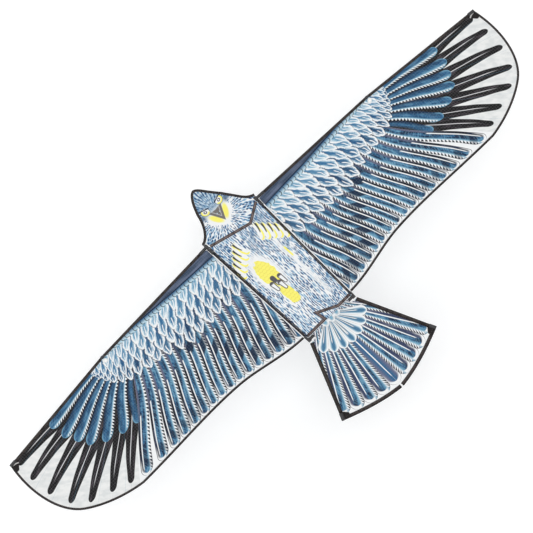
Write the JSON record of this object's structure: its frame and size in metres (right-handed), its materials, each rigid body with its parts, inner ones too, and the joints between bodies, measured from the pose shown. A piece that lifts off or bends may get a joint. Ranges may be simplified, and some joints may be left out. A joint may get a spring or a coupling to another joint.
{
  "type": "bird scarer kite",
  "caption": "Flat hawk-shaped kite with wings and tail hinged on a glass fibre rod frame, tied to a line over crops to frighten birds away.",
  "frame": {"origin": "under the middle of the kite, on the surface that it lies on, halfway along its length", "axes": "+X along the span to the wing on the right as the printed face is seen with the head up, +Y towards the head, +Z out of the printed face"},
  "size_m": [1.0996, 0.48, 0.0073],
  "materials": {
    "wing_cloth": "printed polyester",
    "body_cloth": "printed polyester",
    "tail_cloth": "printed polyester",
    "sleeve": "woven tape",
    "binding": "folded tape",
    "rod": "glass fibre",
    "fitting": "moulded",
    "ferrule": "moulded",
    "eyelet": "moulded"
  },
  "bodies": {
    "body_frame": {"chest_spar": "rod", "rear_spar": "rod", "body_panel": "body_cloth", "neck_seam_tape": "binding", "tail_seam_tape": "binding", "head_panel": "body_cloth", "head_binding": "binding", "left_longeron": "rod", "right_longeron": "rod", "left_body_sleeve": "sleeve", "right_body_sleeve": "sleeve", "left_body_tape": "binding", "right_body_tape": "binding", "left_shoulder_connector": "fitting", "right_shoulder_connector": "fitting", "left_rear_connector": "fitting", "right_rear_connector": "fitting", "left_shoulder_stop": "fitting", "right_shoulder_stop": "fitting"},
    "left_wing": {"left_wing_sail": "wing_cloth", "left_inner_sleeve": "sleeve", "left_outer_sleeve": "sleeve", "left_inner_spar": "rod", "left_outer_spar": "rod", "left_spar_ferrule": "ferrule", "left_shoulder_knuckle": "fitting", "left_tip_cap": "fitting", "left_tip_pocket": "binding", "left_wing_binding": "binding", "left_eyelet": "eyelet"},
    "right_wing": {"right_wing_sail": "wing_cloth", "right_inner_sleeve": "sleeve", "right_outer_sleeve": "sleeve", "right_inner_spar": "rod", "right_outer_spar": "rod", "right_spar_ferrule": "ferrule", "right_shoulder_knuckle": "fitting", "right_tip_cap": "fitting", "right_tip_pocket": "binding", "right_wing_binding": "binding", "right_eyelet": "eyelet"},
    "tail": {"tail_panel": "tail_cloth", "tail_hem": "sleeve", "left_tail_rod": "rod", "right_tail_rod": "rod", "left_tail_sleeve": "sleeve", "right_tail_sleeve": "sleeve", "left_tail_cap": "fitting", "right_tail_cap": "fitting", "left_tail_binding": "binding", "right_tail_binding": "binding"}
  },
  "joints": [
    {"name": "left_wing_fold", "type": "hinge", "parent": "body_frame", "child": "left_wing", "pos_m": [-0.058, 0.154, 0.0032], "axis": [-0.0267, 0.9996, 0], "range_deg": [-30, 85]},
    {"name": "right_wing_fold", "type": "hinge", "parent": "body_frame", "child": "right_wing", "pos_m": [0.058, 0.154, 0.0032], "axis": [-0.0267, -0.9996, 0], "range_deg": [-30, 85]},
    {"name": "tail_flap", "type": "hinge", "parent": "body_frame", "child": "tail", "pos_m": [0, -0.075, 0.0032], "axis": [-1, 0, 0], "range_deg": [-60, 60]}
  ]
}
